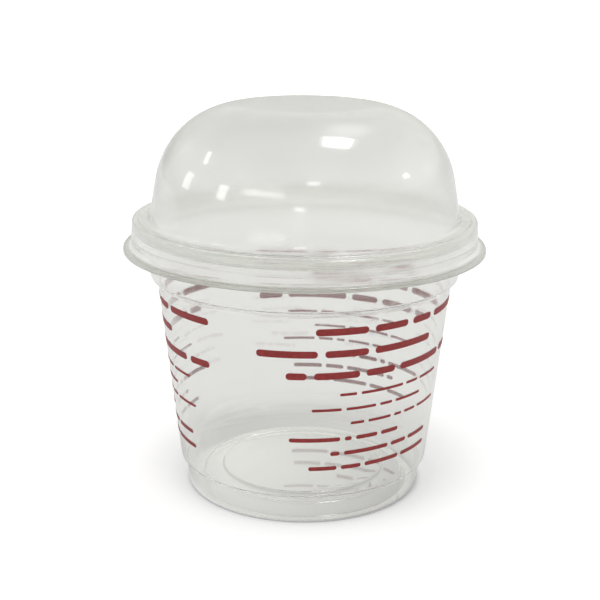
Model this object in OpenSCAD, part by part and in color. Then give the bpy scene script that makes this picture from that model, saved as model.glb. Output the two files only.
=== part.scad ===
// Clear plastic dessert cup with a domed lid.
// The cup and the lid are each one thin sheet, formed to shape. Each is drawn as the
// section of that sheet and turned about the upright axis. The cup stands on z = 0.

/* [Cup] */
// Outer diameter of the rolled rim
rim_d = 98; // [92:0.5:104]
// Height of the cup, from the table to the top of its rim
cup_h = 79.7; // [74:0.1:90]
// Diameter of the foot ring where the wall meets the table
base_d = 69; // [62:0.5:74]
// Thickness of the cup's sheet
cup_wall = 0.4; // [0.35:0.05:0.6]
// Diameter of the curl that the rim is rolled into
curl_d = 3.1; // [2.6:0.1:3.6]
// How far the curl is rolled round, from its crown
curl_turn = 210; // [180:5:215]

/* [Collar] */
// Depth of the collar, from the top of the rim to the shoulder
collar_h = 15.3; // [12:0.1:18]
// Lean of the collar's wall, in degrees
collar_draft = 6.4; // [3:0.2:8]
// How far the shoulder steps in under the collar
shoulder_w = 2; // [1.4:0.1:2.6]
// Height of the shoulder's slope
shoulder_h = 1.6; // [1.2:0.1:2.4]

/* [Foot] */
// Height of the foot, below the ledge that the next cup in a stack rests on
foot_h = 7.8; // [6:0.1:10]
// Lean of the foot's wall, in degrees
foot_draft = 6; // [3:0.5:8]
// How far the ledge steps out above the foot
ledge_w = 1.5; // [1:0.1:2.2]
// Height of the ledge's slope
ledge_h = 1.2; // [1:0.1:2]
// Width of the foot ring on the table, with its bends
ring_w = 3.9; // [3.4:0.1:5]
// How far the ring's inner wall leans in as it rises
ring_lean = 1.4; // [0.8:0.1:2]
// Bend radius of the heel, where the wall turns under
heel_bend = 1.3; // [1:0.1:1.6]

/* [Floor] */
// Height of the floor's underside above the table
floor_h = 3.6; // [2.8:0.1:5]
// Diameter of the raised panel in the floor
panel_d = 47.6; // [40:0.2:50]
// How far the panel stands above the floor
panel_rise = 0.8; // [0.3:0.1:1]
// Width of the slope round the panel
panel_slope_w = 0.6; // [0.5:0.1:1.6]

/* [Dome] */
// Thickness of the lid's sheet
lid_wall = 0.3; // [0.25:0.05:0.5]
// Height of the dome above the lid's flange
dome_h = 32.7; // [28:0.1:40]
// Lean of the dome's side, in degrees
dome_draft = 10; // [6:0.5:14]
// Bend radius of the dome's shoulder, below its flat top
dome_bend = 25; // [18:0.5:27]
// Bend radius at the foot of the dome, where it turns out into the flange
dome_foot_bend = 1.2; // [0.8:0.1:1.4]

/* [Lid flange] */
// How far the foot of the dome stands in from the outer edge of the rim
dome_inset = 4.1; // [3.6:0.1:5]
// Width of the bead's crest, from its inner slope to the skirt
bead_w = 1.6; // [1.4:0.1:2]
// How far the bead round the flange stands above its flat part
bead_rise = 0.6; // [0.4:0.1:1]
// Width of the slope from the flat part up to the bead
bead_slope_w = 0.7; // [0.5:0.1:0.9]
// Depth of the skirt that goes down over the rim
skirt_h = 4.9; // [4.6:0.1:6]
// How far the skirt spreads on its way down
skirt_spread = 0.3; // [0.1:0.1:0.6]
// Height of the slope in to the neck, which holds the lid on under the rim
neck_slope_h = 0.8; // [0.6:0.1:1.2]
// Depth of the neck, from its slope to the lip
neck_h = 2; // [1.8:0.1:2.6]
// How far the lip stands out beyond the neck
lip_w = 2.8; // [2.5:0.1:3.5]
// Depth of the lip's turned-down edge
lip_h = 1.3; // [1:0.1:2]

/* [Fit] */
// Gap between the top of the rim and the underside of the lid
seat_gap = 0.3; // [0.2:0.05:0.4]
// Gap between the rim and the skirt
skirt_gap = 0.4; // [0.3:0.05:0.6]
// Gap between the rim and the neck, so that the lid lifts straight off
neck_gap = 0.3; // [0.3:0.05:0.4]

/* [Print] */
// How many times the printed block is repeated round the cup
print_blocks = 3; // [1:1:3]
// Turn of the first block, in degrees from the front
print_turn = 0; // [-60:5:60]
// Thickness of the ink film
ink_t = 0.05; // [0.03:0.01:0.1]
// Gap between the foot of the shoulder and the first row
print_drop = 3.4; // [2:0.1:5]
// Gap between the last row and the ledge
print_lift = 5; // [3:0.1:8]
// Height of the dashes in the three bold rows
bold_h = 2; // [1.4:0.1:3]
// Height of the dashes in the three fine rows
fine_h = 0.8; // [0.5:0.1:1.6]
// Height of the dashes in the last three rows
plain_h = 1.2; // [0.8:0.1:2]
// Gap between two dashes of a bold row, in degrees
bold_gap = 2.7; // [1.5:0.1:4]
// Gap between two dashes of any other row, in degrees
fine_gap = 1.9; // [1:0.1:3]

/* [Hidden] */
$fn = 180;

// Steps of a bend: a wide one turns by a few degrees at a time, a tight one by more
wide_bend = 5;
wide_step = 4;
tight_step = 15;
// Bend radii of the sheet at its small corners, on the side that the path follows
soft_bend = 0.9;
slope_bend = 0.7;
// The ink is drawn this far off the wall, so that their two curved faces never cross
ink_clear = 0.08;

rim_r = rim_d / 2;
curl_r = curl_d / 2;
curl_in_r = curl_r - cup_wall;
curl_x = rim_r - curl_r;
curl_z = cup_h - curl_r;
curl_start = 180 - collar_draft;
curl_end = 90 - curl_turn;
collar_top_r = curl_x + curl_in_r * cos(curl_start);
collar_top_z = curl_z + curl_in_r * sin(curl_start);
collar_foot_z = cup_h - collar_h;
collar_foot_r = collar_top_r - (collar_top_z - collar_foot_z) * tan(collar_draft);

base_r = base_d / 2;
foot_top_r = base_r + foot_h * tan(foot_draft);
wall_foot_r = foot_top_r + ledge_w;
wall_foot_z = foot_h + ledge_h;
wall_top_r = collar_foot_r - shoulder_w;
wall_top_z = collar_foot_z - shoulder_h;
ring_in_r = base_r - ring_w;
panel_r = panel_d / 2;

seat_z = cup_h + seat_gap + lid_wall;
crest_z = seat_z + bead_rise;
dome_top_z = seat_z + dome_h;
dome_r = rim_r - dome_inset;
dome_corner_r = dome_r - dome_h * tan(dome_draft);
skirt_r = rim_r + skirt_gap + lid_wall;
skirt_foot_z = crest_z - skirt_h;
neck_r = rim_r + neck_gap + lid_wall;
neck_z = skirt_foot_z - neck_slope_h;
lip_z = neck_z - neck_h;
lip_r = neck_r + lip_w;

// Rows of the printed block, from the top: height of the dashes, share of the print's height that
// the row takes, angle where the row starts, gap between dashes, and the angle that each dash spans
bold_share = 1.45;
print_rows = [
    [bold_h, bold_share, 4, bold_gap, [20, 15, 11, 24]],
    [bold_h, bold_share, -18, bold_gap, [23, 17, 29]],
    [bold_h, bold_share, -7, bold_gap, [8, 18, 13, 27, 11]],
    [fine_h, 1, 14, fine_gap, [7, 20, 7, 14]],
    [fine_h, 1, 3, fine_gap, [12, 13, 6, 15]],
    [fine_h, 1, 19, fine_gap, [6, 11, 4, 7, 15]],
    [plain_h, 1, -6, fine_gap, [21, 3, 10, 9]],
    [plain_h, 1, 11, fine_gap, [4, 21, 9, 14]],
    [plain_h, 1, 2, fine_gap, [12, 9, 18, 19]]
];
print_top_z = wall_top_z - print_drop;
print_foot_z = wall_foot_z + print_lift;
share_h = (print_top_z - print_foot_z) / sum([for (row = print_rows) row[1]]);

function unit(v) = v / norm(v);

// Points of a bend of radius r at corner b, between the straight runs from a and to c
function bend(a, b, c, r) =
    let (
        u = unit(a - b),
        v = unit(c - b),
        half = acos(u * v) / 2,
        centre = b + unit(u + v) * r / sin(half),
        from = b + u * r / tan(half) - centre,
        to = b + v * r / tan(half) - centre,
        start = atan2(from.y, from.x),
        turn = (atan2(to.y, to.x) - start + 540) % 360 - 180,
        steps = ceil(abs(turn) / (r > wide_bend ? wide_step : tight_step))
    )
    [for (i = [0:steps]) centre + r * [cos(start + turn * i / steps), sin(start + turn * i / steps)]];

// A path through corners, each [r, z, bend radius], with its two ends left sharp
function bent_path(p) =
    let (last = len(p) - 1)
    [
        for (i = [0:last])
            if (i == 0 || i == last) [p[i].x, p[i].y]
            else each bend(
                [p[i - 1].x, p[i - 1].y],
                [p[i].x, p[i].y],
                [p[i + 1].x, p[i + 1].y],
                p[i].z
            )
    ];

function sum(v, i = 0) = i < len(v) ? v[i] + sum(v, i + 1) : 0;

// The left-hand normal of the run from a to b
function left_of(a, b) = let (d = unit(b - a)) [-d.y, d.x];

// The same path moved sideways by t, to the left where t is above 0
function beside(p, t) =
    let (last = len(p) - 1)
    [
        for (i = [0:last])
            let (
                n0 = left_of(p[max(i - 1, 0)], p[max(i, 1)]),
                n1 = left_of(p[min(i, last - 1)], p[min(i + 1, last)])
            )
            p[i] + t * (n0 + n1) / (1 + n0 * n1)
    ];

function reversed(p) = [for (i = [len(p) - 1:-1:0]) p[i]];

// A sheet of thickness t beside a path, turned about the axis
module turned_sheet(path, t) {
    rotate_extrude()
        polygon(concat(path, reversed(beside(path, t))));
}

// Outer radius of the cup's tapered wall at height z
function wall_r(z) =
    wall_foot_r + (z - wall_foot_z) * (wall_top_r - wall_foot_r) / (wall_top_z - wall_foot_z);

// The underside and outside of the cup, from the middle of its floor to the start of its rim
function cup_path() =
    bent_path([
        [0, floor_h + panel_rise],
        [panel_r, floor_h + panel_rise, slope_bend],
        [panel_r + panel_slope_w, floor_h, slope_bend],
        [ring_in_r - ring_lean, floor_h, soft_bend],
        [ring_in_r, 0, soft_bend],
        [base_r, 0, heel_bend],
        [foot_top_r, foot_h, slope_bend],
        [wall_foot_r, wall_foot_z, soft_bend],
        [wall_top_r, wall_top_z, soft_bend],
        [collar_foot_r, collar_foot_z, soft_bend],
        [collar_top_r, collar_top_z]
    ]);

// The rim, rolled outwards and down from the top of the collar
function curl_path() =
    let (steps = ceil((curl_start - curl_end) / tight_step))
    [
        for (i = [1:steps])
            let (a = curl_start + (curl_end - curl_start) * i / steps)
            [curl_x, curl_z] + curl_in_r * [cos(a), sin(a)]
    ];

// The outside of the lid, from the top of the dome to the edge of the lip
function lid_path() =
    bent_path([
        [0, dome_top_z],
        [dome_corner_r, dome_top_z, dome_bend],
        [dome_r, seat_z, dome_foot_bend],
        [skirt_r - bead_w - bead_slope_w, seat_z, slope_bend],
        [skirt_r - bead_w, crest_z, slope_bend],
        [skirt_r, crest_z, soft_bend],
        [skirt_r + skirt_spread, skirt_foot_z, slope_bend],
        [neck_r, neck_z, slope_bend],
        [neck_r, lip_z, soft_bend],
        [lip_r, lip_z, soft_bend],
        [lip_r, lip_z - lip_h]
    ]);

// Cup: floor with its panel, foot ring, ledge, tapered wall, shoulder, collar and rolled rim
module cup() {
    color([0.80, 0.82, 0.80, 0.45])
        turned_sheet(concat(cup_path(), curl_path()), cup_wall);
}

// One dash of ink on the tapered wall, h high below height top_z, from angle a and span degrees long
module dash(top_z, h, a, span) {
    head_r = wall_r(top_z) + ink_clear;
    foot_r = wall_r(top_z - h) + ink_clear;
    rotate([0, 0, a])
        rotate_extrude(angle = span)
            polygon([
                [foot_r, top_z - h],
                [foot_r + ink_t, top_z - h],
                [head_r + ink_t, top_z],
                [head_r, top_z]
            ]);
}

// One block of print: rows of plain dashes with ragged ends, in three weights
module print_block() {
    for (k = [0:len(print_rows) - 1]) {
        row = print_rows[k];
        top_z = print_top_z - share_h * sum([for (j = [0:1:k - 1]) print_rows[j][1]]);
        for (i = [0:len(row[4]) - 1])
            dash(top_z, row[0], row[2] + sum([for (j = [0:1:i - 1]) row[4][j] + row[3]]), row[4][i]);
    }
}

// Print: the block, repeated round the cup from the front
module print() {
    front = -90;
    color([0.60, 0.09, 0.10])
        for (block = [0:print_blocks - 1])
            rotate([0, 0, front + print_turn + block * 360 / print_blocks])
                print_block();
}

// Lid: flat-topped dome, flange that rests on the rim, bead, skirt, neck and turned-down lip
module lid() {
    color([0.84, 0.86, 0.85, 0.40])
        turned_sheet(lid_path(), -lid_wall);
}

cup();
print();
lid();
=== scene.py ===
"""A clear plastic dessert cup with a flat-topped dome lid, printed with rows of plain dashes.

Lengths are written in millimetres and become metres where a mesh, a lamp or a pattern is made. The
cup stands on z = 0 with its axis on Z, and -Y faces the viewer.
"""
import math

import bpy
import numpy as np
from mathutils import Matrix, Vector


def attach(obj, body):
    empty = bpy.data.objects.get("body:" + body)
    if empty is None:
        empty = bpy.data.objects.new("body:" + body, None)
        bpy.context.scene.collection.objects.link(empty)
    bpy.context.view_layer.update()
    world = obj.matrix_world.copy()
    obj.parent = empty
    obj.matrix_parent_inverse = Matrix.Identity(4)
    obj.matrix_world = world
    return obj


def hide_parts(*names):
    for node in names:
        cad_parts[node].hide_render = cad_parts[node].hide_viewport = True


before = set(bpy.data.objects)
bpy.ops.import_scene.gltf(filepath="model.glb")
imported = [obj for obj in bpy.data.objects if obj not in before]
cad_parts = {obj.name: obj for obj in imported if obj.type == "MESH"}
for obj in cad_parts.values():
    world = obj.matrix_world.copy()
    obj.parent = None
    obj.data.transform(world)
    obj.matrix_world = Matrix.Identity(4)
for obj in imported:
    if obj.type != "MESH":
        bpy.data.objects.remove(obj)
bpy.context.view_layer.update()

# Cup: the part that holds the dessert. It is one sheet of clear PET, warmed and drawn down into a
# mould, with its rim rolled outwards afterwards. Modelled as the section of the sheet, with round
# bends, turned about the axis.
MM = 0.001
CUP_WALL = 0.4
WALL_FOOT = (36.820, 9)
WALL_TOP = (42.750, 62.8)
PANEL_EDGE, PANEL_FOOT = 23.8, 24.4
CUP_SECTION = [
    # distance from the axis, height and bend radius of each corner
    [0, 4.4, 0],
    [PANEL_EDGE, 4.4, 0.7],
    [PANEL_FOOT, 3.6, 0.7],
    [29.2, 3.6, 0.9],
    [30.6, 0, 0.9],
    [34.5, 0, 1.3],
    [35.320, 7.8, 0.7],
    [*WALL_FOOT, 0.9],
    [*WALL_TOP, 0.9],
    [44.750, 64.4, 0.9],
    [46.307, 78.278, 0],
]
CURL_AXIS = (47.45, 78.15)
CURL_R = 1.15
CURL_FROM, CURL_TO = 173.6, -120
SHEET_OVAL = 0.05
CUP_TURN = 0.4
LONGEST_RUN = 2.2
CLEAR_TINT = "#FEFEFD"


def bent_path(corners):
    """Straight runs joined by arcs. A corner is [r, z, bend radius]; its arc touches both runs, has its
    centre on the line that halves them, and gets a point every few degrees, closer on a wide bend."""
    wide_radius, wide_step, tight_step = 5, 2.5, 9
    parts = [np.array([corners[0][:2]], float)]
    for before, here, after in zip(corners, corners[1:], corners[2:]):
        corner, radius = np.array(here[:2], float), here[2]
        u, v = np.array(before[:2]) - corner, np.array(after[:2]) - corner
        u, v = u / np.linalg.norm(u), v / np.linalg.norm(v)
        half = math.acos(u @ v) / 2
        middle = (u + v) / np.linalg.norm(u + v)
        across = u - middle * (u @ middle)
        across = across / np.linalg.norm(across)
        turn = math.pi - 2 * half
        step = wide_step if radius > wide_radius else tight_step
        count = math.ceil(math.degrees(turn) / step) + 1
        t = np.linspace(turn / 2, -turn / 2, max(count, 2))[:, None]
        centre = corner + middle * radius / math.sin(half)
        parts.append(centre + radius * (across * np.sin(t) - middle * np.cos(t)))
    return np.concatenate(parts + [np.array([corners[-1][:2]], float)])


def arc(centre, radius, start, end, step=12):
    """Points on a circle about the centre, from one angle to the other in even steps."""
    t = np.radians(np.linspace(start, end, math.ceil(abs(end - start) / step) + 1))
    return np.array(centre) + radius * np.stack([np.cos(t), np.sin(t)], 1)


def closer(path, longest):
    """The path with points added on its runs, so that no step is longer than the longest."""
    parts = []
    for a, b in zip(path, path[1:]):
        count = max(1, math.ceil(np.linalg.norm(b - a) / longest))
        parts.append(a + (b - a) * (np.arange(count) / count)[:, None])
    return np.concatenate(parts + [path[-1:]])


def beside(path, distance):
    """The path moved sideways, to the left where the distance is above 0. A point moves along the sum
    of its two runs' left-hand normals, far enough for both moved runs to lie that distance away."""
    run = np.diff(path, axis=0)
    run = run / np.linalg.norm(run, axis=1)[:, None]
    left = np.stack([-run[:, 1], run[:, 0]], 1)
    n0 = np.concatenate([left[:1], left])
    n1 = np.concatenate([left, left[-1:]])
    return path + distance * (n0 + n1) / (1 + (n0 * n1).sum(1))[:, None]


def out_of_round(angle, z, size, turn):
    """How far a formed sheet stands out from a true circle, in millimetres: a slow wave three times
    round and a quicker, smaller one five times round. Both twist with height, and the quicker one
    swells and fades with it. The twists and the swell are in radians a millimetre."""
    slow_twist, quick_twist, swell, quick_size = 0.045, 0.07, 0.11, 0.6
    slow = np.sin(3 * angle + slow_twist * z + turn)
    quick = np.sin(5 * angle - quick_twist * z + 2.1 * turn)
    return size * (slow + quick_size * quick * np.cos(swell * z + turn))


def new_object(name, points, faces, smooth=True):
    """Makes an object at the origin from points in millimetres and lists of faces."""
    mesh = bpy.data.meshes.new(name)
    mesh.from_pydata((points * MM).tolist(), [], faces)
    mesh.validate()
    if smooth:
        mesh.shade_smooth()
    else:
        mesh.shade_flat()
    piece = bpy.data.objects.new(name, mesh)
    bpy.context.scene.collection.objects.link(piece)
    return piece


def turned_sheet(name, path, thickness, turn, around=300):
    """A closed sheet of revolution. Its section runs along the path and back beside it; with u along
    that section and v the angle, a point is ((r(u) + e) cos v, (r(u) + e) sin v, z(u)), where e is the
    sheet's small error of form. Near the axis, e fades out by the square of the radius. The two ends
    on the axis are poles. A sheet to the left of its path has its faces turned over, so that the
    normals point out of the plastic."""
    fades_within = 30
    section = np.concatenate([path, beside(path, thickness)[::-1]])
    section[[0, -1], 0] = 0
    rings = section[1:-1]
    angle = np.arange(around) * 2 * np.pi / around + np.pi / 2
    r, z = rings[:, :1], rings[:, 1:]
    fade = np.clip(r / fades_within, 0, 1) ** 2
    r = r + out_of_round(angle, z, SHEET_OVAL, turn) * fade
    grid = np.stack([r * np.cos(angle), r * np.sin(angle), z + 0 * angle], -1).reshape(-1, 3)
    poles = np.array([[0, 0, section[0, 1]], [0, 0, section[-1, 1]]])
    i = np.arange(len(rings) - 1)[:, None] * around
    a = np.arange(around)
    b = (a + 1) % around
    quads = np.stack([i + a, i + around + a, i + around + b, i + b], -1).reshape(-1, 4)
    top = (len(rings) - 1) * around
    first = np.stack([0 * a + len(grid), a, b], -1)
    last = np.stack([0 * a + len(grid) + 1, top + b, top + a], -1)
    faces = quads.tolist() + first.tolist() + last.tolist()
    if thickness > 0:
        faces = [face[::-1] for face in faces]
    return new_object(name, np.concatenate([grid, poles]), faces)


def linear(colour):
    """An sRGB hex colour as linear red, green, blue and alpha."""
    values = [int(colour[i : i + 2], 16) / 255 for i in (1, 3, 5)]
    return [v / 12.92 if v <= 0.04045 else ((v + 0.055) / 1.055) ** 2.4 for v in values] + [1]


def add(tree, kind, inputs=None, settings=None):
    """Adds a shader node of a kind with its settings, and gives each of its named or numbered inputs
    a value or another node's socket. Inputs 6 and 7 of a Mix are its two colours, and output 2 is the
    mixed one."""
    node = tree.nodes.new("ShaderNode" + kind)
    for name, value in (settings or {}).items():
        setattr(node, name, value)
    for name, value in (inputs or {}).items():
        if isinstance(value, bpy.types.NodeSocket):
            tree.links.new(value, node.inputs[name])
        else:
            node.inputs[name].default_value = value
    return node


def new_material(name):
    """An empty material with nodes."""
    material = bpy.data.materials.new(name)
    material.use_nodes = True
    material.node_tree.nodes.clear()
    return material


SMOOTH = {"interpolation_type": "SMOOTHSTEP"}
COLOURS = {"data_type": "RGBA"}


def clear_sheet(name, thick_and_shade_tint, thick_from, scuff, haze, fold=None, dome=None):
    """Thermoformed PET: glass-clear and glossy, index 1.575. What the eye gets is a slight grey-green
    tint; a deeper tint from a distance off the axis outwards, which stands partly for thicker sheet and
    partly is painted shade; a thin ring of painted shade along a fold at its distance off the axis; a
    soft waviness some 15 mm across left by the warm sheet, fine lines where it was drawn down the
    mould, and a duller band, between the two heights of the scuff, where stacked ones rub each other.
    The sheet is slightly hazy inside a skin that stays sharp and glossy. Where a dome is given, as its
    height and its haze, only the dome has that skin."""
    wave_across, wave_deep = 15, 0.04
    lines_across, lines_drawn_out, lines_deep = 1.6, 0.06, 0.006
    rub_across, rub_flattened, rub_dull, rub_fades = 2.5, 4, 0.10, 1
    skin_grows, haze_grows, thick_grows = 1, 3, 1
    fold_half, fold_painted_shade = 0.25, "#DEDFDB"
    edge_shade = "#C4C5C5"
    heel_shade, heel_from, heel_to = "#606164", 0.1, 7.6
    trapped_after = 20
    material = new_material(name)
    tree = material.node_tree
    place = add(tree, "TexCoord").outputs["Object"]
    height = add(tree, "SeparateXYZ", {0: place}).outputs["Z"]

    # Relief: the waviness of the warm sheet, and finer lines drawn out along its height.
    wave = add(
        tree,
        "TexNoise",
        {"Vector": place, "Scale": 1 / (wave_across * MM), "Detail": 1.0, "Roughness": 0.4},
    )
    drawn_place = add(tree, "Mapping", {"Vector": place, "Scale": (1, 1, lines_drawn_out)})
    lines = add(
        tree,
        "TexNoise",
        {
            "Vector": drawn_place.outputs[0],
            "Scale": 1 / (lines_across * MM),
            "Detail": 2.0,
            "Roughness": 0.5,
        },
    )
    relief = add(
        tree,
        "Math",
        {0: lines.outputs["Fac"], 1: lines_deep, 2: wave.outputs["Fac"]},
        {"operation": "MULTIPLY_ADD"},
    )
    bump = add(
        tree, "Bump", {"Height": relief.outputs[0], "Distance": wave_deep * MM, "Strength": 1.0}
    )

    # Dullness: the haze in the sheet, with rubbed spots added in the scuffed band.
    rise = add(
        tree,
        "MapRange",
        {
            "Value": height,
            "From Min": (scuff[0] - rub_fades) * MM,
            "From Max": (scuff[0] + rub_fades) * MM,
        },
        SMOOTH,
    )
    fall = add(
        tree,
        "MapRange",
        {
            "Value": height,
            "From Min": (scuff[1] - rub_fades) * MM,
            "From Max": (scuff[1] + rub_fades) * MM,
            "To Min": 1.0,
            "To Max": 0.0,
        },
        SMOOTH,
    )
    band = add(tree, "Math", {0: rise.outputs[0], 1: fall.outputs[0]}, {"operation": "MULTIPLY"})
    rub_place = add(tree, "Mapping", {"Vector": place, "Scale": (1, 1, rub_flattened)})
    rub = add(
        tree,
        "TexNoise",
        {"Vector": rub_place.outputs[0], "Scale": 1 / (rub_across * MM), "Detail": 4.0},
    )
    rubbed = add(
        tree,
        "MapRange",
        {"Value": rub.outputs["Fac"], "From Min": 0.5, "From Max": 0.75, "To Max": rub_dull},
    )
    skin = 1.0
    if dome:
        dome_from, dome_haze = dome
        skin = add(
            tree,
            "MapRange",
            {
                "Value": height,
                "From Min": dome_from * MM,
                "From Max": (dome_from + skin_grows) * MM,
            },
            SMOOTH,
        ).outputs[0]
        haze = add(
            tree,
            "MapRange",
            {
                "Value": height,
                "From Min": dome_from * MM,
                "From Max": (dome_from + haze_grows) * MM,
                "To Min": haze,
                "To Max": dome_haze,
            },
            SMOOTH,
        ).outputs[0]
    dull = add(
        tree,
        "Math",
        {0: rubbed.outputs[0], 1: band.outputs[0], 2: haze},
        {"operation": "MULTIPLY_ADD"},
    )

    # Tint: deeper further off the axis, partly for thicker sheet and partly painted shade; and painted
    # shade along the fold.
    flat_place = add(tree, "Mapping", {"Vector": place, "Scale": (1, 1, 0)})
    from_axis = add(
        tree, "VectorMath", {0: flat_place.outputs[0]}, {"operation": "LENGTH"}
    ).outputs["Value"]
    thick = add(
        tree,
        "MapRange",
        {
            "Value": from_axis,
            "From Min": thick_from * MM,
            "From Max": (thick_from + thick_grows) * MM,
        },
        SMOOTH,
    )
    tint = add(
        tree,
        "Mix",
        {"Factor": thick.outputs[0], 6: linear(CLEAR_TINT), 7: linear(thick_and_shade_tint)},
        COLOURS,
    )
    # Painted shade: a thin darker ring along the fold.
    if fold:
        folded = add(
            tree, "Math", {0: from_axis, 1: fold * MM, 2: fold_half * MM}, {"operation": "COMPARE"}
        )
        tint = add(
            tree,
            "Mix",
            {"Factor": folded.outputs[0], 6: tint.outputs[2], 7: linear(fold_painted_shade)},
            COLOURS,
        )
    sheet = add(
        tree,
        "BsdfPrincipled",
        {
            "Base Color": tint.outputs[2],
            "Transmission Weight": 1.0,
            "IOR": 1.575,
            "Roughness": dull.outputs[0],
            "Normal": bump.outputs[0],
            "Coat Weight": skin,
            "Coat Roughness": 0.02,
            "Coat IOR": 1.5,
            "Coat Normal": bump.outputs[0],
        },
    )

    # Lamps shine through the sheet, with a deeper shade on its edges and low down at the heel. Light
    # that has run on and on inside it leaves it straight.
    edge = add(tree, "LayerWeight", {"Blend": 0.35})
    shadow = add(
        tree,
        "Mix",
        {"Factor": edge.outputs["Facing"], 6: linear(CLEAR_TINT), 7: linear(edge_shade)},
        COLOURS,
    )
    heel = add(
        tree,
        "MapRange",
        {"Value": height, "From Min": heel_from * MM, "From Max": heel_to * MM},
        SMOOTH,
    )
    cast = add(
        tree,
        "Mix",
        {"Factor": heel.outputs[0], 6: linear(heel_shade), 7: shadow.outputs[2]},
        COLOURS,
    )
    path = add(tree, "LightPath").outputs
    from_lamp = add(
        tree,
        "Math",
        {0: path["Is Shadow Ray"], 1: path["Is Diffuse Ray"]},
        {"operation": "MAXIMUM"},
    )
    trapped = add(
        tree, "Math", {0: path["Ray Depth"], 1: trapped_after}, {"operation": "GREATER_THAN"}
    )
    straight = add(
        tree, "Math", {0: from_lamp.outputs[0], 1: trapped.outputs[0]}, {"operation": "MAXIMUM"}
    )
    passed = add(
        tree,
        "Mix",
        {"Factor": trapped.outputs[0], 6: cast.outputs[2], 7: (1, 1, 1, 1)},
        COLOURS,
    )
    open_way = add(tree, "BsdfTransparent", {"Color": passed.outputs[2]})
    mixed = add(
        tree,
        "MixShader",
        {0: straight.outputs[0], 1: sheet.outputs[0], 2: open_way.outputs[0]},
    )
    add(tree, "OutputMaterial", {"Surface": mixed.outputs[0]})
    return material


curl = arc(CURL_AXIS, CURL_R, CURL_FROM, CURL_TO)
cup_path = closer(np.concatenate([bent_path(CUP_SECTION), curl[1:]]), LONGEST_RUN)
cup = turned_sheet("cup_sheet_of_clear_pet", cup_path, CUP_WALL, CUP_TURN)
cup_finish = clear_sheet(
    "pet_thermoformed_cup",
    thick_and_shade_tint="#F0F1EE",
    thick_from=47.6,
    scuff=(60, 66),
    haze=0.03,
    # a thin ring of painted shade along the panel's fold
    fold=(PANEL_EDGE + PANEL_FOOT) / 2,
)
cup.data.materials.append(cup_finish)
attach(cup, "cup_body")
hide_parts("cup")

# Print: rows of plain dashes in red ink, in three weights, three times round the wall. The ink is
# rolled on from a rubber plate, so each dash is a thin film with round ends that takes the curve of
# the wall.
INK_LIFT = 0.03
INK_FILM = 0.04
PRINT_TOP = WALL_TOP[1] - 3.4
PRINT_FOOT = WALL_FOOT[1] + 5
FRONT = -90
BLOCKS = 3
BOLD_SHARE = 1.45
BOLD_GAP, FINE_GAP = 2.7, 1.9
BOLD_H, FINE_H, PLAIN_H = 2, 0.8, 1.2
INK_PATCH, INK_RELIEF = 1.2, 0.02
THIN_INK, FULL_INK = "#8E1E1E", "#A43230"
ROWS = [
    # dash height, share of the print's height, first angle, gap, spans of the dashes in degrees
    (BOLD_H, BOLD_SHARE, 4, BOLD_GAP, [20, 15, 11, 24]),
    (BOLD_H, BOLD_SHARE, -18, BOLD_GAP, [23, 17, 29]),
    (BOLD_H, BOLD_SHARE, -7, BOLD_GAP, [8, 18, 13, 27, 11]),
    (FINE_H, 1, 14, FINE_GAP, [7, 20, 7, 14]),
    (FINE_H, 1, 3, FINE_GAP, [12, 13, 6, 15]),
    (FINE_H, 1, 19, FINE_GAP, [6, 11, 4, 7, 15]),
    (PLAIN_H, 1, -6, FINE_GAP, [21, 3, 10, 9]),
    (PLAIN_H, 1, 11, FINE_GAP, [4, 21, 9, 14]),
    (PLAIN_H, 1, 2, FINE_GAP, [12, 9, 18, 19]),
]


def wall_radius(z):
    """Outer radius of the cup's tapered wall at a height: a straight line from its foot to its top."""
    share = (z - WALL_FOOT[1]) / (WALL_TOP[1] - WALL_FOOT[1])
    return WALL_FOOT[0] + share * (WALL_TOP[0] - WALL_FOOT[0])


def dash(top, height, start, span):
    """One dash of ink as a thin closed bar with round ends. With s along it, its half height is that
    of the middle, falling off at both ends as a half circle's; each station s carries four points, the
    film's lower and upper edge on its inner and outer face, laid on the wall's cone at angle s."""
    longest_step, cap_steps = 1.5, 5
    middle = top - height / 2
    radius = wall_radius(middle)
    cap = math.degrees(height / 2 / radius)
    lean = np.linspace(0, np.pi / 2, cap_steps + 1)[1:]
    ends = cap * (1 - np.cos(lean))
    count = math.ceil((span - 2 * cap) / longest_step) + 1
    inner = np.linspace(cap, span - cap, max(2, count))[1:-1]
    s = np.concatenate([ends, inner, span - ends[::-1]])
    half = height / 2 * np.concatenate([np.sin(lean), np.ones(len(inner)), np.sin(lean[::-1])])
    angle = np.radians(start + s)[:, None]
    z = np.stack([middle - half, middle - half, middle + half, middle + half], 1)
    lift = np.array([INK_LIFT, INK_LIFT + INK_FILM, INK_LIFT + INK_FILM, INK_LIFT])
    r = wall_radius(z) + lift + out_of_round(angle, z, SHEET_OVAL, CUP_TURN)
    points = np.stack([r * np.cos(angle), r * np.sin(angle), z], -1).reshape(-1, 3)
    i = np.arange(len(s) - 1)[:, None] * 4
    k = np.arange(4)
    n = (k + 1) % 4
    sides = np.stack([i + k, i + 4 + k, i + 4 + n, i + n], -1).reshape(-1, 4)
    last = len(points) - 4
    return points, sides.tolist() + [[0, 1, 2, 3], [last + 3, last + 2, last + 1, last]]


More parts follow.
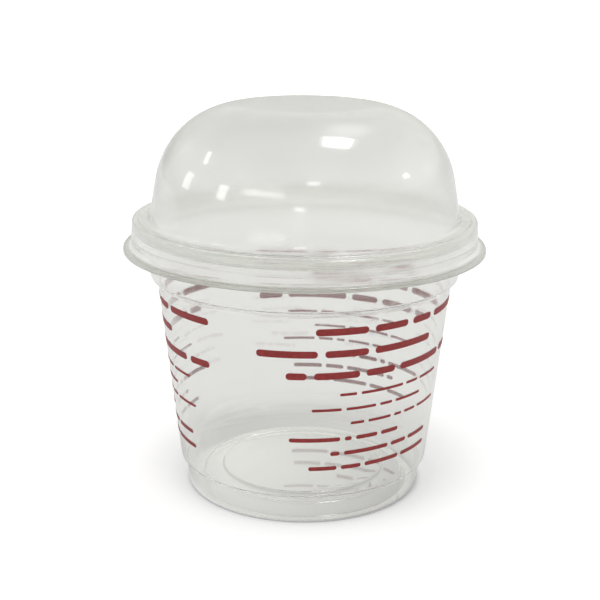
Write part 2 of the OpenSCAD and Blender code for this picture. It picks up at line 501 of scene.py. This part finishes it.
def printed_ink(name):
    """Printed ink: a thin matt film. What the eye gets is a dark red that is a little thinner in
    places, where the plate carried less ink."""
    material = new_material(name)
    tree = material.node_tree
    place = add(tree, "TexCoord").outputs["Object"]
    patchy = add(
        tree, "TexNoise", {"Vector": place, "Scale": 1 / (INK_PATCH * MM), "Detail": 5.0}
    ).outputs["Fac"]
    amount = add(tree, "MapRange", {"Value": patchy, "From Min": 0.35, "From Max": 0.7})
    colour = add(
        tree,
        "Mix",
        {"Factor": amount.outputs[0], 6: linear(THIN_INK), 7: linear(FULL_INK)},
        COLOURS,
    )
    rough = add(
        tree,
        "MapRange",
        {"Value": patchy, "From Min": 0.3, "From Max": 0.7, "To Min": 0.4, "To Max": 0.6},
    )
    bump = add(
        tree, "Bump", {"Height": patchy, "Distance": INK_RELIEF * MM, "Strength": 1.0}
    )
    film = add(
        tree,
        "BsdfPrincipled",
        {
            "Base Color": colour.outputs[2],
            "Roughness": rough.outputs[0],
            "IOR": 1.5,
            "Normal": bump.outputs[0],
        },
    )
    add(tree, "OutputMaterial", {"Surface": film.outputs[0]})
    return material


share_h = (PRINT_TOP - PRINT_FOOT) / sum(row[1] for row in ROWS)
print_points, print_faces, used = [], [], 0
for block in range(BLOCKS):
    top = PRINT_TOP
    for height, share, start, gap, spans in ROWS:
        angle = FRONT + block * 360 / BLOCKS + start
        for span in spans:
            points, faces = dash(top, height, angle, span)
            print_points.append(points)
            print_faces += [[index + used for index in face] for face in faces]
            used += len(points)
            angle += span + gap
        top -= share_h * share
ink = new_object("dashes_of_red_ink", np.concatenate(print_points), print_faces, smooth=False)
ink.data.materials.append(printed_ink("ink_printed_red"))
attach(ink, "cup_body")
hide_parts("print")

# Lid: a flat-topped dome on a flange, with a bead, a skirt that snaps over the cup's rim, and a lip
# to lift it by. It is one sheet of clear PET, formed over a mould and cut out round the lip.
LID_WALL = 0.3
LID_TURN = 1.9
LID_SECTION = [
    # distance from the axis, height and bend radius of each corner
    [0, 113, 0],
    [39.134, 113, 25],
    [44.9, 80.3, 1.2],
    [47.4, 80.3, 0.7],
    [48.1, 80.9, 0.7],
    [49.7, 80.9, 0.9],
    [50, 76, 0.7],
    [49.6, 75.2, 0.7],
    [49.6, 73.2, 0.9],
    [52.4, 73.2, 0.9],
    [52.4, 71.9, 0],
]
lid_path = closer(bent_path(LID_SECTION), LONGEST_RUN)
lid = turned_sheet("lid_sheet_of_clear_pet", lid_path, -LID_WALL, LID_TURN)
lid_finish = clear_sheet(
    "pet_thermoformed_lid",
    # The grey tint at the lip is partly painted shade.
    thick_and_shade_tint="#D6D7D2",
    thick_from=50.3,
    scuff=(74, 82),
    haze=0.12,
    dome=(81, 0.14),
)
lid.data.materials.append(lid_finish)
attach(lid, "lid_body")
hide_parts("lid")

# Floor: the pale table that the cup stands on, wide enough to fill the view. It is a matt white sheet
# that keeps the cup's soft shadow, and it glows a little for the eye, so that it ends up white. What
# the sheets mirror and bend of it is partly a pale grey glow, which carries a painted shadow and
# painted light round the cup.
FLOOR_HALF = 6000
PAPER, PAPER_IN_SHEET = "#F4F4F3", "#E0E0DD"
GLOW_FROM, GLOW_TO, GLOW_NEAR, GLOW_FAR = 150, 900, 0.30, 0.7
GREY_SHARE = 0.6
# The grey glow's strength is set at these distances from the cup's axis, and it is painted light and
# shade. Under the cup it goes from painted light at the left to painted shade at the right; round
# the foot it is a painted shadow of the cup, which also goes from a value at the left to a value at
# the right; out on the open floor it is plain, and far off it is brighter.
LEFT, RIGHT = -25, 35
LIT_UNDER_LEFT, SHADED_UNDER_RIGHT = 1.56, 0.64
SHADOW_ROUND_LEFT, SHADOW_ROUND_RIGHT = 0.72, 0.92
FOOT_IN, FOOT_OUT = 33, 38
OPEN_FROM, OPEN_TO, OPEN_GREY = 50, 68, 1.0
FAR_FROM, FAR_TO, FAR_GREY = 170, 300, 1.14
corners = np.array([[-1, -1, 0], [1, -1, 0], [1, 1, 0], [-1, 1, 0]]) * FLOOR_HALF
floor = new_object("floor_white_sheet", corners, [[0, 1, 2, 3]], smooth=False)
paper = new_material("paper_white_matt")
tree = paper.node_tree
floor_place = add(tree, "TexCoord").outputs["Object"]
floor_x = add(tree, "SeparateXYZ", {0: floor_place}).outputs["X"]
away = add(tree, "VectorMath", {0: floor_place}, {"operation": "LENGTH"}).outputs["Value"]
seen = add(tree, "LightPath").outputs
far = add(
    tree,
    "MapRange",
    {
        "Value": away,
        "From Min": GLOW_FROM * MM,
        "From Max": GLOW_TO * MM,
        "To Min": GLOW_NEAR,
        "To Max": GLOW_FAR,
    },
    SMOOTH,
)
strength = add(
    tree, "Math", {0: seen["Is Camera Ray"], 1: far.outputs[0]}, {"operation": "MULTIPLY"}
)
matt = add(tree, "BsdfDiffuse", {"Color": linear(PAPER)})
glow = add(tree, "Emission", {"Color": (1, 1, 1, 1), "Strength": strength.outputs[0]})
both = add(tree, "AddShader", {0: matt.outputs[0], 1: glow.outputs[0]})
grey = []
for left, right in ((LIT_UNDER_LEFT, SHADED_UNDER_RIGHT), (SHADOW_ROUND_LEFT, SHADOW_ROUND_RIGHT)):
    across = add(
        tree,
        "MapRange",
        {
            "Value": floor_x,
            "From Min": LEFT * MM,
            "From Max": RIGHT * MM,
            "To Min": left,
            "To Max": right,
        },
    )
    grey.append(across.outputs[0])
level = grey[0]
for start, end, beyond in (
    (FOOT_IN, FOOT_OUT, grey[1]),
    (OPEN_FROM, OPEN_TO, OPEN_GREY),
    (FAR_FROM, FAR_TO, FAR_GREY),
):
    level = add(
        tree,
        "MapRange",
        {
            "Value": away,
            "From Min": start * MM,
            "From Max": end * MM,
            "To Min": level,
            "To Max": beyond,
        },
        SMOOTH,
    ).outputs[0]
# Painted shadow and light: the grey glow's strength, set by place on the floor.
pale = add(tree, "Emission", {"Color": linear(PAPER_IN_SHEET), "Strength": level})
in_sheet = add(
    tree,
    "Math",
    {0: seen["Is Glossy Ray"], 1: seen["Is Transmission Ray"]},
    {"operation": "MAXIMUM"},
)
paled = add(tree, "Math", {0: in_sheet.outputs[0], 1: GREY_SHARE}, {"operation": "MULTIPLY"})
mixed = add(tree, "MixShader", {0: paled.outputs[0], 1: both.outputs[0], 2: pale.outputs[0]})
add(tree, "OutputMaterial", {"Surface": mixed.outputs[0]})
floor.data.materials.append(paper)

# World: an even white room. What the sheets mirror of it is palest a little above the horizon and
# greyer towards the ceiling, and what they bend of it is a plain grey. Both are paler at the right
# than at the left. The light that falls on the floor is even.
LIT, SEEN, BENT = 0.535, 1.0, 0.70
HORIZON_FROM, HORIZON_TO, HORIZON, WALLS = 0.12, 0.22, 0.70, 0.84
CEILING_FROM, CEILING = 0.3, 0.48
AT_LEFT, AT_RIGHT = 0.88, 1.20
IN_SHEET_CAST = "#FEFFF9"
world = bpy.data.worlds.new("white_room")
bpy.context.scene.world = world
world.use_nodes = True
tree = world.node_tree
tree.nodes.clear()
direction = add(tree, "SeparateXYZ", {0: add(tree, "TexCoord").outputs["Generated"]}).outputs
walls = add(
    tree,
    "MapRange",
    {
        "Value": direction["Z"],
        "From Min": HORIZON_FROM,
        "From Max": HORIZON_TO,
        "To Min": HORIZON,
        "To Max": WALLS,
    },
    SMOOTH,
)
ceiling = add(
    tree,
    "MapRange",
    {
        "Value": direction["Z"],
        "From Min": CEILING_FROM,
        "From Max": 1.0,
        "To Min": walls.outputs[0],
        "To Max": CEILING,
    },
    SMOOTH,
)
side = add(
    tree,
    "MapRange",
    {"Value": direction["X"], "From Min": -1.0, "To Min": AT_LEFT, "To Max": AT_RIGHT},
).outputs[0]
mirrored = add(tree, "Math", {0: ceiling.outputs[0], 1: side}, {"operation": "MULTIPLY"})
bent = add(tree, "Math", {0: side, 1: BENT}, {"operation": "MULTIPLY"})
path = add(tree, "LightPath").outputs
strength = LIT
for ray, shown in (
    ("Is Transmission Ray", bent.outputs[0]),
    ("Is Glossy Ray", mirrored.outputs[0]),
    ("Is Camera Ray", SEEN),
):
    strength = add(
        tree, "MapRange", {"Value": path[ray], "To Min": strength, "To Max": shown}
    ).outputs[0]
in_sheet = add(
    tree,
    "Math",
    {0: path["Is Transmission Ray"], 1: path["Is Glossy Ray"]},
    {"operation": "MAXIMUM"},
)
cast = add(
    tree,
    "Mix",
    {"Factor": in_sheet.outputs[0], 6: (1, 1, 1, 1), 7: linear(IN_SHEET_CAST)},
    COLOURS,
)
shine = add(tree, "Background", {"Color": cast.outputs[2], "Strength": strength})
add(tree, "OutputWorld", {"Surface": shine.outputs[0]})

# Lamps: a broad soft light overhead, which lays the pale shadow under the lid, and small softboxes
# whose mirror images are the bright patches on the dome.
OVERHEAD_AZIMUTH, OVERHEAD_ELEVATION = -14, 77
OVERHEAD_STRENGTH = 1.15
OVERHEAD_SPREAD = 20
LAMPS_AWAY = 1000
AIM_HEIGHT = 90
SOFTBOXES = {
    # azimuth, elevation, width and height in millimetres, turn in its plane, brightness, and
    # whether it shows through a sheet
    "box_above": (105, 74.5, 265, 242, -12, 4.5, True),
    "box_left_high": (-101, 35, 60, 210, 45, 3.5, False),
    "box_left_low": (-100.5, 12, 140, 240, 0, 2.0, False),
    "box_front_left": (-65, 14, 130, 260, 0, 3.5, False),
    "box_front_wide": (-32, 20, 560, 120, 0, 1.7, False),
    "box_front_high": (7, 35, 150, 70, 0, 4.0, False),
    "box_front_low": (-4, 8, 140, 16, 0, 4.5, False),
    "box_right": (88, 24, 105, 75, 0, 3.5, False),
}


def towards(azimuth, elevation, distance):
    """The point at a distance in millimetres in a direction: azimuth from the viewer's side to the
    right, elevation up from the floor."""
    a, e = math.radians(azimuth), math.radians(elevation)
    ahead = Vector((math.sin(a) * math.cos(e), -math.cos(a) * math.cos(e), math.sin(e)))
    return ahead * distance * MM


def aim(lamp, target):
    """Turns a lamp so that it shines at the target."""
    lamp.rotation_euler = (target - lamp.location).to_track_quat("-Z", "Y").to_euler()


overhead = bpy.data.objects.new("overhead", bpy.data.lights.new("overhead", "SUN"))
overhead.data.energy = OVERHEAD_STRENGTH
overhead.data.angle = math.radians(OVERHEAD_SPREAD)
overhead.location = towards(OVERHEAD_AZIMUTH, OVERHEAD_ELEVATION, LAMPS_AWAY)
aim(overhead, Vector((0, 0, 0)))
overhead.visible_glossy = False
overhead.visible_transmission = False
bpy.context.scene.collection.objects.link(overhead)

# A box's energy goes with its size, so the brightness is that of each spot on it.
on_cup = Vector((0, 0, AIM_HEIGHT * MM))
for name, (azimuth, elevation, width, height, turn, brightness, shows) in SOFTBOXES.items():
    light = bpy.data.lights.new(name, "AREA")
    light.shape = "RECTANGLE"
    light.size, light.size_y = width * MM, height * MM
    light.energy = brightness * math.pi * light.size * light.size_y
    box = bpy.data.objects.new(name, light)
    box.location = on_cup + towards(azimuth, elevation, LAMPS_AWAY)
    aim(box, on_cup)
    box.rotation_euler.rotate_axis("Z", math.radians(turn))
    box.visible_camera = False
    box.visible_diffuse = False
    box.visible_transmission = shows
    bpy.context.scene.collection.objects.link(box)

# Camera: a long lens in front of the cup and a little above it. It looks slightly down and is held a
# touch out of level.
CAMERA_AT = (-1.25, -367.9, 161.3)
LOOKS_DOWN = 16.08
OUT_OF_LEVEL = 0.42
FOCAL_LENGTH, SENSOR_WIDTH = 77.93, 36
lens = bpy.data.cameras.new("camera")
lens.lens = FOCAL_LENGTH
lens.sensor_width = SENSOR_WIDTH
lens.clip_start = 0.01
camera = bpy.data.objects.new("camera", lens)
camera.matrix_world = (
    Matrix.Translation(Vector(CAMERA_AT) * MM)
    @ Matrix.Rotation(math.radians(90 - LOOKS_DOWN), 4, "X")
    @ Matrix.Rotation(math.radians(OUT_OF_LEVEL), 4, "Z")
)
bpy.context.scene.collection.objects.link(camera)
bpy.context.scene.camera = camera

# Rendering: light passes many sheets one behind the other here, so a ray may go through many faces.
# Colours are shown as they are written.
MOST_BOUNCES = 40
cycles = bpy.context.scene.cycles
cycles.max_bounces = MOST_BOUNCES
cycles.transmission_bounces = MOST_BOUNCES
cycles.transparent_max_bounces = MOST_BOUNCES
cycles.glossy_bounces = MOST_BOUNCES
bpy.context.scene.view_settings.view_transform = "Standard"
